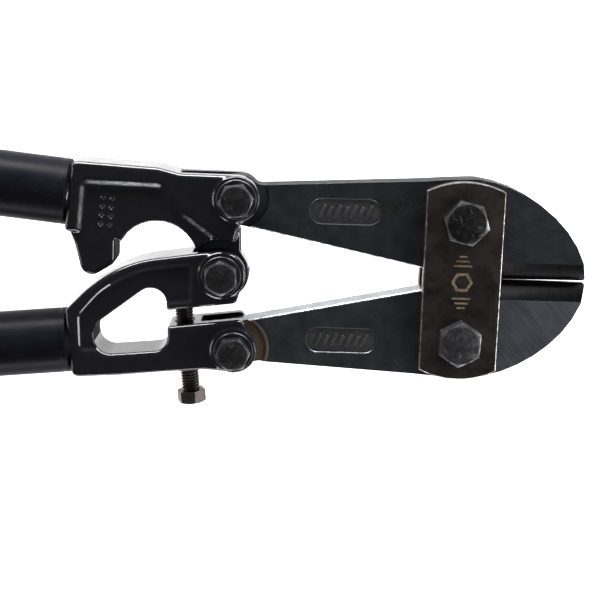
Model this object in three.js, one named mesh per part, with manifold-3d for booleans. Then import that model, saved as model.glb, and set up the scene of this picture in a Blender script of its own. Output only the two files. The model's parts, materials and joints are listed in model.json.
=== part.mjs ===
import * as THREE from 'three';
import Module from 'manifold-3d';
import { mergeVertices } from 'three/addons/utils/BufferGeometryUtils.js';

const wasm = await Module();
wasm.setup();

// Bolt cutters lying flat: +X towards the jaw tips, +Y to the upper jaw, +Z along the pivots.
// Outlines are written about the line through the two jaw bolts, at the middle of the thickness.
// All lengths in millimetres.
const SHIFT_X = 321.5;        // jaw-bolt line to the middle of the overall length
const SHIFT_Z = 26;           // middle of the thickness above the lowest bolt end
const JAW_BOLT_Y = 25.8;      // half the spacing of the jaw bolts
const PIVOT = [-95.5, 32.4];  // handle pivot in the upper jaw tail
const CENTRE = [-101.2, 0];   // pivot between the two handle heads
const TIP_GAP = 0.45;         // the same at the tip, where the edges part a little
const TIP_X = 53.5;           // jaw tips
const JAW_HALF = 6;           // half the jaw thickness
const TAIL_HALF = 5.2;        // half the thickness of the jaw tails and of the centre tongue
const SLOT_HALF = 5.5;        // half the width of the fork slots
const EAR_HALF = 11.3;        // half the thickness of the handle heads
const PANEL_HALF = 9.4;       // half the thickness of the recessed panels
const RECESS_HALF = 10.1;     // half the thickness inside the lower head's recess
const BOSS_HALF = 12.1;       // spot faces round the pivots
const PLATE_IN = 6.2;         // side plates, inner and outer faces
const PLATE_OUT = 11.2;
const CUT_GAP = 0.12;         // each cutting edge stands this far off the middle
const TAIL_R = 9.2;           // eye of the jaw tail
const SHOULDER_R = 13.6;      // round step between jaw and tail
const EAR_R = 9.7;            // fork ears round the handle pivots
const HUB_R = 10.3;           // fork ears round the centre pivot
const TONGUE_R = 11.4;        // tongue round the centre pivot
const TONGUE_HOLE_R = 7.5;    // running clearance round the centre bolt
const HANDLE_ANGLE = 5.65 * Math.PI / 180;
const HANDLE_START = [-168, 32.2];
const TUBE_R = 14;
const TUBE_BORE_R = 12;
const SPIGOT_R = 11.7;
const SPIGOT_LENGTH = 46;
const TUBE_FROM = -1.5;       // along the handle from HANDLE_START
const TUBE_TO = 521;
const GRIP_FROM = 345;
const GRIP_TO = 529.7;
const GRIP_R = 17;
const SCREW_AT = [-117.3, -20.5];
const SCREW_R = 3.95;

const ROUND = 32;             // facets round a full circle

// ---------- geometry helpers ----------

// closed outline from [x, y, corner radius] entries
function outline(points, side = 1) {
  const shape = new THREE.Shape();
  const n = points.length;
  for (let i = 0; i < n; i += 1) {
    const at = new THREE.Vector2(points[i][0], points[i][1] * side);
    const before = points[(i + n - 1) % n];
    const after = points[(i + 1) % n];
    const back = new THREE.Vector2(before[0], before[1] * side).sub(at).normalize();
    const ahead = new THREE.Vector2(after[0], after[1] * side).sub(at).normalize();
    const radius = points[i][2] || 0;
    if (radius === 0) {
      if (i === 0) shape.moveTo(at.x, at.y);
      else shape.lineTo(at.x, at.y);
      continue;
    }
    const half = Math.acos(THREE.MathUtils.clamp(back.dot(ahead), -1, 1)) / 2;
    const run = radius / Math.tan(half);
    const start = at.clone().addScaledVector(back, run);
    const end = at.clone().addScaledVector(ahead, run);
    const middle = back.clone().add(ahead).normalize();
    const hub = at.clone().addScaledVector(middle, radius / Math.sin(half));
    const a0 = Math.atan2(start.y - hub.y, start.x - hub.x);
    const a1 = Math.atan2(end.y - hub.y, end.x - hub.x);
    if (i === 0) shape.moveTo(start.x, start.y);
    else shape.lineTo(start.x, start.y);
    shape.absarc(hub.x, hub.y, radius, a0, a1, back.cross(ahead) > 0);
  }
  shape.closePath();
  return shape;
}

function solid(geometry) {
  const plain = geometry.index ? geometry.toNonIndexed() : geometry.clone();
  plain.deleteAttribute('normal');
  plain.deleteAttribute('uv');
  const joined = mergeVertices(plain, 1e-4);
  return new wasm.Manifold(new wasm.Mesh({
    numProp: 3,
    vertProperties: new Float32Array(joined.attributes.position.array),
    triVerts: new Uint32Array(joined.index.array),
  }));
}

function prism(shape, z0, z1, bevel = 0, curveSegments = 4) {
  const geometry = new THREE.ExtrudeGeometry(shape, {
    depth: z1 - z0 - 2 * bevel,
    bevelEnabled: bevel > 0,
    bevelThickness: bevel,
    bevelSize: bevel,
    bevelOffset: -bevel,
    bevelSegments: 1,
    curveSegments,
  });
  geometry.translate(0, 0, z0 + bevel);
  return solid(geometry);
}

// shallow pockets in the front and rear faces of a head, their walls sloping in to the floor
function pockets(shape, floor, slope) {
  const geometry = new THREE.ExtrudeGeometry(shape, {
    depth: 6,
    bevelEnabled: true,
    bevelThickness: EAR_HALF - floor,
    bevelSize: slope,
    bevelOffset: -slope,
    bevelSegments: 1,
    curveSegments: 4,
  });
  geometry.translate(0, 0, EAR_HALF);
  const front = solid(geometry);
  return front.add(front.mirror([0, 0, 1]));
}

function disc(x, y, radius, z0, z1, facets = ROUND) {
  const geometry = new THREE.CylinderGeometry(radius, radius, z1 - z0, facets);
  geometry.rotateX(Math.PI / 2);
  geometry.translate(x, y, (z0 + z1) / 2);
  return solid(geometry);
}

// profile of [radius, height] pairs turned about +Z
function turned(profile, facets = ROUND) {
  const points = profile.map(([r, z]) => new THREE.Vector2(r, z));
  const geometry = new THREE.LatheGeometry(points, facets);
  geometry.rotateX(Math.PI / 2);
  return geometry;
}

const material = (color, metalness, roughness) =>
  new THREE.MeshStandardMaterial({ color, metalness, roughness });

const group = new THREE.Group();

function addPiece(name, body, surface) {
  const mesh = body.getMesh();
  const geometry = new THREE.BufferGeometry();
  const count = mesh.vertProperties.length / mesh.numProp;
  const position = new Float32Array(count * 3);
  for (let i = 0; i < count; i += 1) {
    for (let k = 0; k < 3; k += 1) position[i * 3 + k] = mesh.vertProperties[i * mesh.numProp + k];
  }
  geometry.setAttribute('position', new THREE.BufferAttribute(position, 3));
  geometry.setIndex(new THREE.BufferAttribute(new Uint32Array(mesh.triVerts), 1));
  geometry.translate(SHIFT_X, 0, SHIFT_Z);
  geometry.computeVertexNormals();
  const piece = new THREE.Mesh(geometry, surface);
  piece.name = name;
  group.add(piece);
}

// ---------- jaws ----------

function jaw(side) {
  const shape = new THREE.Shape();
  const y = (value) => value * side;
  const tail = outline([
    [5.2, CUT_GAP, 0],
    [4, 41.5, 0],
    [-18, 41.6, 0],
    [-86.5, 37.9, 5],
    [-91.0, 41.6, 4],
    [-104.7, 41.6, TAIL_R],
    [-104.7, 23.0, 8.5],
  ], side);
  shape.moveTo(5.2, y(CUT_GAP));
  shape.lineTo(24, y(CUT_GAP));
  shape.lineTo(TIP_X - 1, y(TIP_GAP));
  shape.quadraticCurveTo(TIP_X, y(TIP_GAP), TIP_X, y(1.8));
  shape.bezierCurveTo(50.2, y(24), 26, y(41), 5, y(43));
  shape.quadraticCurveTo(1, y(43.2), -18, y(41.6));
  shape.lineTo(-40, y(20));
  shape.closePath();
  let body = prism(tail, -JAW_HALF, JAW_HALF);
  body = body.add(prism(shape, -JAW_HALF, JAW_HALF, 0, 9));
  // thinner tail inside a round shoulder
  const thin = disc(PIVOT[0], y(PIVOT[1]), SHOULDER_R, TAIL_HALF, JAW_HALF + 1);
  const thinBack = disc(PIVOT[0], y(PIVOT[1]), SHOULDER_R, -JAW_HALF - 1, -TAIL_HALF);
  body = body.subtract(thin).subtract(thinBack);
  // ground bevels along the cutting edge
  for (const face of [1, -1]) {
    const wedge = new THREE.Shape();
    wedge.moveTo(-1, 1.1 * face);
    wedge.lineTo(0.1, 1.1 * face);
    wedge.lineTo(8, 6 * face);
    wedge.lineTo(8.8, 6.5 * face);
    wedge.lineTo(-1, 6.5 * face);
    wedge.closePath();
    const geometry = new THREE.ExtrudeGeometry(wedge, { depth: 60, bevelEnabled: false });
    geometry.applyMatrix4(new THREE.Matrix4().makeBasis(
      new THREE.Vector3(0, side, 0), new THREE.Vector3(0, 0, 1), new THREE.Vector3(side, 0, 0)));
    geometry.translate(side > 0 ? 2 : 62, 0, 0);
    body = body.subtract(solid(geometry));
  }
  // shallow oval marks
  const oval = outline([
    [-65, 33.2, 5.4],
    [-65, 22.4, 5.4],
    [-34.5, 22.4, 5.4],
    [-34.5, 33.2, 5.4],
  ], side);
  body = body.subtract(prism(oval, JAW_HALF - 0.5, JAW_HALF + 1));
  body = body.subtract(disc(0, y(JAW_BOLT_Y), 5.3, -10, 10));
  body = body.subtract(disc(PIVOT[0], y(PIVOT[1]), 4.4, -10, 10));
  return body;
}

// ---------- side plates ----------

function sidePlate(z0, z1) {
  const shape = new THREE.Shape();
  const half = 16.5;
  const end = 38.3;
  const crown = 42.3;
  const radius = (half * half + (crown - end) ** 2) / (2 * (crown - end));
  const sweep = Math.asin(half / radius);
  shape.moveTo(-half, -end);
  shape.absarc(0, -crown + radius, radius, -Math.PI / 2 - sweep, -Math.PI / 2 + sweep, false);
  shape.lineTo(half, end);
  shape.absarc(0, crown - radius, radius, Math.PI / 2 - sweep, Math.PI / 2 + sweep, false);
  shape.closePath();
  let body = prism(shape, z0, z1, 0.4, 8);
  for (const side of [1, -1]) body = body.subtract(disc(0, JAW_BOLT_Y * side, 5.15, z0 - 1, z1 + 1));
  return body;
}

// ---------- fasteners ----------

// hexagonal prism with chamfered corners on the side away from the seat
function hexBlank(x, y, flats, seat, height, up, turn) {
  const corner = flats / Math.sqrt(3);
  const geometry = new THREE.CylinderGeometry(corner, corner, height, 6);
  geometry.rotateX(Math.PI / 2);
  geometry.rotateZ(turn);
  geometry.translate(0, 0, height / 2);
  const drop = height * 0.16;
  const cap = turned([[0, -1], [corner + 1, -1], [corner + 1, height - drop * 1.75],
    [flats / 2 - 0.2, height], [0, height]], 18);
  let body = solid(geometry).intersect(solid(cap));
  if (!up) body = body.rotate([180, 0, 0]);
  return body.translate([x, y, seat]);
}

function bolt(x, y, shankR, flats, headHeight, seat, end, turn) {
  const head = hexBlank(x, y, flats, seat, headHeight, true, turn);
  return head.add(disc(x, y, shankR, end, seat + 0.5, 20));
}

function nut(x, y, boreR, flats, height, seat, turn) {
  return hexBlank(x, y, flats, seat, height, false, turn).subtract(disc(x, y, boreR, seat - height - 1, seat + 1, 20));
}

function washer(x, y, boreR, outerR, z0, z1) {
  return disc(x, y, outerR, z0, z1, 28).subtract(disc(x, y, boreR, z0 - 1, z1 + 1, 20));
}

// ---------- handle heads ----------

// moves a body built along +Z to run down a handle, starting at the given distance
function alongHandle(geometry, side, from) {
  const out = new THREE.Vector3(-Math.cos(HANDLE_ANGLE), side * Math.sin(HANDLE_ANGLE), 0);
  const up = new THREE.Vector3(0, 0, 1);
  const cross = new THREE.Vector3().crossVectors(out, up);
  geometry.applyMatrix4(new THREE.Matrix4().makeBasis(up, cross, out));
  geometry.translate(HANDLE_START[0] + out.x * from, HANDLE_START[1] * side + out.y * from, 0);
  return solid(geometry);
}

function spigot(side) {
  const length = SPIGOT_LENGTH;
  const profile = [
    [0, -10], [8, -10], [8, -2.2], [SPIGOT_R, -2.2],
    [SPIGOT_R, length - 1.5], [SPIGOT_R - 1.5, length], [0, length],
  ];
  return alongHandle(turned(profile), side, 0);
}

function bosses(x, y, radius) {
  return disc(x, y, radius, -BOSS_HALF, -EAR_HALF + 0.5).add(disc(x, y, radius, EAR_HALF - 0.5, BOSS_HALF));
}

function upperHead() {
  const frame = outline([
    [-164.0, 46.4, 3],
    [-128.0, 44.5, 10],
    [-119.0, 42.3, 10],
    [-95.5, 42.1, 0],
    [-90.5, 33.0, 0],
    [-89.0, 25.2, 0],
    [-94.2, 21.2, 4],
    [-96.5, 12.0, 0],
    [-113.0, 8.0, 0],
    [-143.0, 12.0, 0],
    [-150.0, 17.0, 0],
    [-167.3, 16.6, 2],
  ]);
  let body = prism(frame, -EAR_HALF, EAR_HALF, 1.1);
  body = body.add(disc(PIVOT[0], PIVOT[1], EAR_R, -EAR_HALF, EAR_HALF));
  // stop finger reaching down to the other head
  const finger = outline([
    [-166.9, 20.5, 2],
    [-163.2, 11.5, 6],
    [-160.0, -1.9, 5],
    [-154.6, -1.7, 4],
    [-146.2, 3.4, 4],
    [-146.1, 15.0, 0],
    [-140.0, 38.0, 0],
    [-160.0, 38.0, 0],
  ]);
  body = body.add(prism(finger, -PANEL_HALF, PANEL_HALF, 1.1));
  // recessed panels inside a raised border, both faces
  const panel = outline([
    [-163.1, -12.0, 0],
    [-162.7, 17.1, 0],
    [-160.9, 39.4, 4],
    [-126.4, 38.6, 4],
    [-117.8, 27.0, 8],
    [-103.2, 16.5, 0],
    [-97.0, -12.0, 0],
  ]);
  body = body.subtract(pockets(panel, PANEL_HALF, 3.1));
  // round cut-out between finger and leg
  body = body.subtract(disc(-128.5, 4.6, 17.3, -20, 20, 48));
  // the leg narrows to a tongue round the centre pivot
  body = body.subtract(disc(CENTRE[0], CENTRE[1], 15, -20, 20, 48));
  const neck = outline([
    [-94.0, 20.0, 0],
    [-93.6, 9.0, 3],
    [-91.6, 6.0, 0],
    [-101.2, -4.0, 0],
    [-111.0, 5.6, 0],
    [-112.3, 11.3, 0],
    [-106.0, 19.0, 0],
  ]);
  body = body.add(prism(neck, -TAIL_HALF, TAIL_HALF));
  body = body.add(disc(CENTRE[0], CENTRE[1], TONGUE_R, -TAIL_HALF, TAIL_HALF));
  body = body.subtract(disc(CENTRE[0], CENTRE[1], TONGUE_HOLE_R, -20, 20));
  body = body.add(bosses(PIVOT[0], PIVOT[1], 9.6));
  // fork slot for the jaw tail
  const slot = outline([
    [-119.5, 60.0, 0],
    [-119.5, 40.5, 5],
    [-104.6, 24.6, 6],
    [-97.9, 20.5, 0],
    [-60.0, 12.0, 0],
    [-60.0, 60.0, 0],
  ]);
  body = body.subtract(prism(slot, -SLOT_HALF, SLOT_HALF));
  body = body.subtract(disc(PIVOT[0], PIVOT[1], 12, -SLOT_HALF, SLOT_HALF));
  body = body.subtract(disc(PIVOT[0], PIVOT[1], 4.2, -20, 20));
  return body.add(spigot(1));
}

function screwAxis() {
  return new THREE.Vector3(Math.sin(HANDLE_ANGLE), -Math.cos(HANDLE_ANGLE), 0);
}

// body of revolution about the adjusting screw's axis, heights measured outwards from SCREW_AT
function alongScrew(geometry) {
  const out = screwAxis();
  const up = new THREE.Vector3(0, 0, 1);
  const cross = new THREE.Vector3().crossVectors(out, up);
  geometry.applyMatrix4(new THREE.Matrix4().makeBasis(up, cross, out));
  geometry.translate(SCREW_AT[0], SCREW_AT[1], 0);
  return solid(geometry);
}

function lowerHead() {
  const frame = outline([
    [-167.2, -17.2, 3],
    [-156.0, -5.6, 56],
    [-139.0, 4.8, 50],
    [-113.0, 8.7, 0],
    [-101.2, 10.2, 0],
    [-93.0, 3.0, 0],
    [-93.4, -7.2, 2],
    [-94.9, -12.1, 2],
    [-124.2, -15.9, 1],
    [-124.4, -7.2, 6.5],
    [-133.0, -6.4, 6],
    [-155.4, -23.6, 8],
    [-154.6, -36.2, 7],
    [-123.6, -33.2, 6],
    [-123.8, -22.9, 1],
    [-92.6, -19.0, 1.5],
    [-88.6, -26.0, 0],
    [-88.6, -36.0, 0],
    [-95.5, -42.1, 0],
    [-108.0, -41.2, 0],
    [-126.0, -42.8, 8],
    [-144.0, -44.8, 20],
    [-164.3, -46.2, 3],
  ]);
  let body = prism(frame, -EAR_HALF, EAR_HALF, 0.9);
  // shallow recess round the window, inside a raised border, both faces
  const recess = outline([
    [-161.6, -34.6, 3],
    [-162.2, -18.6, 5],
    [-152.6, -7.2, 36],
    [-137.0, 1.9, 40],
    [-113.5, 5.4, 2.4],
    [-113.5, -12.4, 0],
    [-124.0, -13.6, 0],
    [-139.0, -15.0, 0],
    [-150.0, -24.0, 0],
    [-150.0, -34.6, 0],
  ]);
  body = body.subtract(pockets(recess, RECESS_HALF, 1.4));
  body = body.add(disc(CENTRE[0], CENTRE[1], HUB_R, -EAR_HALF, EAR_HALF));
  body = body.add(disc(PIVOT[0], -PIVOT[1], EAR_R, -EAR_HALF, EAR_HALF));
  body = body.add(bosses(CENTRE[0], CENTRE[1], 9.6));
  body = body.add(bosses(PIVOT[0], -PIVOT[1], 9.6));
  // pad under the adjusting screw
  body = body.add(alongScrew(turned([[0, 16], [6.6, 16], [6.6, 22.4], [5.6, 23.4], [0, 23.4]], 24)));
  // fork slot round the centre tongue
  body = body.subtract(disc(CENTRE[0], CENTRE[1], 15, -SLOT_HALF, SLOT_HALF, 48));
  // fork slot for the jaw tail, open on both sides
  const slot = outline([
    [-110.6, -17.6, 0],
    [-109.4, -24.0, 0],
    [-104.0, -32.4, 0],
    [-104.0, -60.0, 0],
    [-60.0, -60.0, 0],
    [-60.0, -12.0, 0],
    [-92.0, -17.6, 0],
  ]);
  body = body.subtract(prism(slot, -SLOT_HALF, SLOT_HALF));
  body = body.subtract(disc(PIVOT[0], -PIVOT[1], 12, -SLOT_HALF, SLOT_HALF));
  body = body.subtract(disc(CENTRE[0], CENTRE[1], 4.2, -20, 20));
  body = body.subtract(disc(PIVOT[0], -PIVOT[1], 4.2, -20, 20));
  // hole for the adjusting screw
  const hole = [[0, 0.5], [SCREW_R + 0.3, 0.5], [SCREW_R + 0.3, 30], [0, 30]];
  body = body.subtract(alongScrew(turned(hole, 20)));
  return body.add(spigot(-1));
}

function adjustingScrew() {
  const shank = [[0, -4.0], [SCREW_R - 1, -4.0], [SCREW_R, -3.0], [SCREW_R, 33], [0, 33]];
  let body = alongScrew(turned(shank, 20));
  const head = hexBlank(0, 0, 11, 0, 5.6, true, 0.2);
  const out = screwAxis();
  const turn = new THREE.Matrix4().makeBasis(
    new THREE.Vector3(0, 0, 1), new THREE.Vector3().crossVectors(out, new THREE.Vector3(0, 0, 1)), out);
  turn.setPosition(SCREW_AT[0] + out.x * 32.5, SCREW_AT[1] + out.y * 32.5, 0);
  body = body.add(head.transform(turn.elements));
  return body;
}

// ---------- handles ----------

function handleTube(side) {
  const profile = [
    [TUBE_BORE_R, TUBE_FROM], [TUBE_R - 0.5, TUBE_FROM], [TUBE_R, TUBE_FROM + 0.5],
    [TUBE_R, TUBE_TO], [TUBE_BORE_R, TUBE_TO], [TUBE_BORE_R, TUBE_FROM],
  ];
  return alongHandle(turned(profile, 36), side, 0);
}

function grip(side) {
  const inner = TUBE_R + 0.25;
  const profile = [
    [inner, GRIP_FROM], [GRIP_R + 0.8, GRIP_FROM], [GRIP_R + 1.4, GRIP_FROM + 2],
    [GRIP_R + 1.4, GRIP_FROM + 6], [GRIP_R, GRIP_FROM + 9], [GRIP_R - 0.8, GRIP_FROM + 60],
    [GRIP_R, GRIP_FROM + 130], [GRIP_R, GRIP_TO - 4], [GRIP_R - 3, GRIP_TO], [0, GRIP_TO],
    [0, TUBE_TO + 0.4], [inner, TUBE_TO + 0.4], [inner, GRIP_FROM],
  ];
  return alongHandle(turned(profile, 36), side, 0);
}

// ---------- assembly ----------

const jawSteel = material(0x24262a, 0.6, 0.45);
const plateSteel = material(0x2a2522, 0.6, 0.4);
const boltSteel = material(0x33312f, 0.8, 0.4);
const forged = material(0x0b0b0d, 0.3, 0.18);
const coated = material(0x111114, 0.2, 0.4);
const rubber = material(0x151515, 0, 0.8);
const screwSteel = material(0x4a4540, 0.8, 0.4);

addPiece('upper_jaw', jaw(1), jawSteel);
addPiece('lower_jaw', jaw(-1), jawSteel);
addPiece('front_side_plate', sidePlate(PLATE_IN, PLATE_OUT), plateSteel);
addPiece('rear_side_plate', sidePlate(-PLATE_OUT, -PLATE_IN), plateSteel);

for (const [word, side, turn] of [['upper', 1, 0.3], ['lower', -1, -0.04]]) {
  const y = JAW_BOLT_Y * side;
  addPiece(`${word}_jaw_bolt`, bolt(0, y, 5, 17, 6.4, PLATE_OUT + 0.1, -26, turn), boltSteel);
  addPiece(`${word}_jaw_washer`, washer(0, y, 5.3, 10.5, -13.7, -PLATE_OUT - 0.1), boltSteel);
  addPiece(`${word}_jaw_nut`, nut(0, y, 5.2, 17, 8.0, -13.8, 0.5), boltSteel);
}

const upperHeadBody = upperHead();
const lowerHeadBody = lowerHead();
addPiece('upper_handle_head', upperHeadBody, forged);
addPiece('lower_handle_head', lowerHeadBody, forged);

const pivots = [
  ['upper', PIVOT[0], PIVOT[1], -0.375],
  ['lower', PIVOT[0], -PIVOT[1], -0.4],
  ['centre', CENTRE[0], CENTRE[1], 0.05],
];
for (const [word, x, y, turn] of pivots) {
  addPiece(`${word}_pivot_bolt`, bolt(x, y, 4, 13, 5.4, BOSS_HALF + 1.7, -22.4, turn), boltSteel);
  addPiece(`${word}_pivot_front_washer`, washer(x, y, 4.3, 8.4, BOSS_HALF + 0.1, BOSS_HALF + 1.6), boltSteel);
  addPiece(`${word}_pivot_rear_washer`, washer(x, y, 4.3, 8.4, -BOSS_HALF - 1.6, -BOSS_HALF - 0.1), boltSteel);
  addPiece(`${word}_pivot_nut`, nut(x, y, 4.2, 13, 6.6, -BOSS_HALF - 1.7, turn), boltSteel);
}

addPiece('adjusting_screw', adjustingScrew(), screwSteel);
for (const [word, side] of [['upper', 1], ['lower', -1]]) {
  addPiece(`${word}_handle_tube`, handleTube(side), coated);
  addPiece(`${word}_grip`, grip(side), rubber);
}

export default group;
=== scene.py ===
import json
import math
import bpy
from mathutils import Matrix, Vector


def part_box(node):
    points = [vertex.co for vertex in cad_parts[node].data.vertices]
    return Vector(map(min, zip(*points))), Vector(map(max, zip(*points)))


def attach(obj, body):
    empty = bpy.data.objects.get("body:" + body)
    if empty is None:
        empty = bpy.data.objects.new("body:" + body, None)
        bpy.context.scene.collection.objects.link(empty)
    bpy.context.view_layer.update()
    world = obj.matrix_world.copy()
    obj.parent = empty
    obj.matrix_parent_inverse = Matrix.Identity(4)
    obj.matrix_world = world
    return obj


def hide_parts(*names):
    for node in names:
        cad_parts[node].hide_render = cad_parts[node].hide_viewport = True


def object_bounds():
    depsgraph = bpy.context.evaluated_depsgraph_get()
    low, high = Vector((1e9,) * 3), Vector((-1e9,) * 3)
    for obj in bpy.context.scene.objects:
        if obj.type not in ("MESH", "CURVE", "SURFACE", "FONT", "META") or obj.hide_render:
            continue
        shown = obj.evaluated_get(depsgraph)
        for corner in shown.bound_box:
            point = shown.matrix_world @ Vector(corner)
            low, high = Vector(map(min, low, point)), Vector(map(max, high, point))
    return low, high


bl_info = {
    "name": "Bolt cutters",
    "version": (1, 0, 0),
    "blender": (4, 5, 0),
    "location": "3D View > Sidebar > Bolt cutters",
    "description": "Finishes a pair of long-handled bolt cutters, piece by piece",
    "category": "Object",
}

import bmesh
import bpy
from bpy.props import FloatProperty, FloatVectorProperty, IntProperty, PointerProperty
from mathutils import Matrix, Vector

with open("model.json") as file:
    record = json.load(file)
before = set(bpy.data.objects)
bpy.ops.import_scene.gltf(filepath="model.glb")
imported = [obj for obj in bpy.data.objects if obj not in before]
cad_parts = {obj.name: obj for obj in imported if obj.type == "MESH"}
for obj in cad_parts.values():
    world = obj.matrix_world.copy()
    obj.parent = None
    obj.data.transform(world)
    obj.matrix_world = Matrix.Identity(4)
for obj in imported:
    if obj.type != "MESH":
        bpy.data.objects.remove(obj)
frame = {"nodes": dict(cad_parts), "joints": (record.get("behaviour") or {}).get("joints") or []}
CAD_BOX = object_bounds()

# ---------------------------------------------------------------- places

JOINTS = {joint["name"]: joint for joint in frame["joints"]}
UPPER_JAW_PIVOT = Vector(JOINTS["upper_jaw_swing"]["pos_m"])
LOWER_JAW_PIVOT = Vector(JOINTS["lower_jaw_swing"]["pos_m"])
UPPER_PIVOT = Vector(JOINTS["upper_handle_open"]["pos_m"])
LOWER_PIVOT = Vector(JOINTS["lower_handle_open"]["pos_m"])
SCREW_FOOT = Vector(JOINTS["adjusting_screw_turn"]["pos_m"])
SCREW_AXIS = Vector(JOINTS["adjusting_screw_turn"]["axis"]).normalized()
MID = UPPER_PIVOT.z  # level of the middle of the thickness
JAW_LINE = UPPER_JAW_PIVOT.x  # the line through the two jaw bolts
HANDLE_ANGLE = math.radians(5.65)
HANDLE_START = Vector((JAW_LINE - 0.168, 0.0322, MID))


def middle(node):
    low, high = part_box(node)
    return (Vector(low) + Vector(high)) / 2


def level(node, top):
    """Height of a node's upper or lower end."""
    low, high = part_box(node)
    return high[2] if top else low[2]


OVAL_DEPTH = 0.0005  # depth of the ovals in the jaws
PRINT_THICKNESS = 0.00006  # thickness of the gilt print on the front plate
CENTRE_PIVOT = middle("centre_pivot_front_washer")
CENTRE_PIVOT.z = MID


# ---------------------------------------------------------------- settings


class FastenerSettings(bpy.types.PropertyGroup):
    jaw_bolt_flats: FloatProperty(
        name="Jaw bolt flats", description="Width across the flats of the jaw bolts and nuts",
        default=0.017, unit="LENGTH")
    pivot_bolt_flats: FloatProperty(
        name="Pivot bolt flats", description="Width across the flats of the pivot bolts and nuts",
        default=0.013, unit="LENGTH")
    screw_flats: FloatProperty(
        name="Adjusting screw flats", description="Width across the flats of the adjusting screw",
        default=0.011, unit="LENGTH")
    jaw_bolt_pitch: FloatProperty(
        name="Jaw bolt pitch", description="Thread pitch of the jaw bolts",
        default=0.0015, unit="LENGTH")
    pivot_bolt_pitch: FloatProperty(
        name="Pivot bolt pitch", description="Thread pitch of the pivot bolts and the screw",
        default=0.00125, unit="LENGTH")
    edges_round: IntProperty(
        name="Facets", description="Facets round a turned piece", default=72, min=24, max=192)


class HandleSettings(bpy.types.PropertyGroup):
    tube_radius: FloatProperty(
        name="Tube radius", description="Outside radius of the handle tubes",
        default=0.014, unit="LENGTH")
    grip_radius: FloatProperty(
        name="Grip radius", description="Outside radius of the rubber grips",
        default=0.017, unit="LENGTH")
    grip_rings: IntProperty(
        name="Grip rings", description="Number of grooves round each grip", default=24, min=0, max=60)
    forging_voxel: FloatProperty(
        name="Forging detail", description="Cell size that rounds the forged heads",
        default=0.0005, unit="LENGTH")
    forging_softness: IntProperty(
        name="Forging softness", description="Smoothing passes over the forged heads",
        default=7, min=0, max=40)


class FinishSettings(bpy.types.PropertyGroup):
    enamel: FloatVectorProperty(
        name="Enamel", description="Colour of the forged handle heads",
        default=(0.0040, 0.0040, 0.0050), subtype="COLOR", size=3)
    coating: FloatVectorProperty(
        name="Tube coating", description="Colour of the handle tubes",
        default=(0.0024, 0.0024, 0.0038), subtype="COLOR", size=3)
    jaw_oxide: FloatVectorProperty(
        name="Jaw oxide", description="Colour of the oxidised jaws",
        default=(0.024, 0.025, 0.030), subtype="COLOR", size=3)
    plate_oxide: FloatVectorProperty(
        name="Plate oxide", description="Colour of the side plates",
        default=(0.020, 0.0165, 0.0150), subtype="COLOR", size=3)
    bolt_oxide: FloatVectorProperty(
        name="Bolt oxide", description="Colour of the bolts, nuts and washers",
        default=(0.045, 0.044, 0.047), subtype="COLOR", size=3)
    screw_steel: FloatVectorProperty(
        name="Screw steel", description="Colour of the adjusting screw",
        default=(0.044, 0.040, 0.039), subtype="COLOR", size=3)
    rubber: FloatVectorProperty(
        name="Rubber", description="Colour of the grips",
        default=(0.010, 0.010, 0.011), subtype="COLOR", size=3)
    gilt: FloatVectorProperty(
        name="Gilt", description="Colour of the printed mark on the front plate",
        default=(0.26, 0.19, 0.125), subtype="COLOR", size=3)


class StudioSettings(bpy.types.PropertyGroup):
    floor: FloatVectorProperty(
        name="Floor", description="Colour of the floor",
        default=(0.90, 0.90, 0.90), subtype="COLOR", size=3)
    distance: FloatProperty(
        name="Camera distance", description="Distance from the camera to the jaws' level",
        default=0.570, unit="LENGTH")
    tilt: FloatProperty(
        name="Camera tilt", description="Lean of the camera towards the upper jaw's side",
        default=math.radians(12.0), subtype="ANGLE")
    roll: FloatProperty(
        name="Camera roll", description="Turn of the picture about the line of sight",
        default=math.radians(1.7), subtype="ANGLE")
    lens: FloatProperty(
        name="Lens", description="Focal length in millimetres on a 36 mm sensor",
        default=79.5, min=10)


# ---------------------------------------------------------------- materials


def add_node(tree, kind, settings=None, **inputs):
    """Adds a node, sets its own settings, and links or sets its inputs."""
    node = tree.nodes.new(kind)
    for key, value in (settings or {}).items():
        setattr(node, key, value)
    for key, value in inputs.items():
        socket = node.inputs[key.replace("_", " ")]
        if isinstance(value, bpy.types.NodeSocket):
            tree.links.new(value, socket)
        else:
            socket.default_value = value
    return node


def start_material(name, **shader_inputs):
    material = bpy.data.materials.new(name)
    material.use_nodes = True
    tree = material.node_tree
    tree.nodes.clear()
    shader = add_node(tree, "ShaderNodeBsdfPrincipled", **shader_inputs)
    output = add_node(tree, "ShaderNodeOutputMaterial")
    tree.links.new(shader.outputs["BSDF"], output.inputs["Surface"])
    place = add_node(tree, "ShaderNodeTexCoord").outputs["Object"]
    return material, tree, shader, place


def turned_place(tree, place, scale=(1, 1, 1), turn=(0, 0, 0)):
    """Coordinates turned first and stretched after, so a grain can run at an angle."""
    return add_node(
        tree, "ShaderNodeMapping", {"vector_type": "TEXTURE"}, Vector=place,
        Scale=tuple(1 / part for part in scale), Rotation=turn).outputs[0]


def noise(tree, place, scale, detail=4.0, roughness=0.55, distortion=0.0):
    return add_node(
        tree, "ShaderNodeTexNoise", Vector=place, Scale=scale, Detail=detail,
        Roughness=roughness, Distortion=distortion).outputs["Fac"]


def span(tree, value, low, high, to_low=0.0, to_high=1.0, smooth=False):
    settings = {"interpolation_type": "SMOOTHSTEP"} if smooth else {}
    return add_node(
        tree, "ShaderNodeMapRange", settings, Value=value, From_Min=low, From_Max=high,
        To_Min=to_low, To_Max=to_high).outputs[0]


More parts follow.
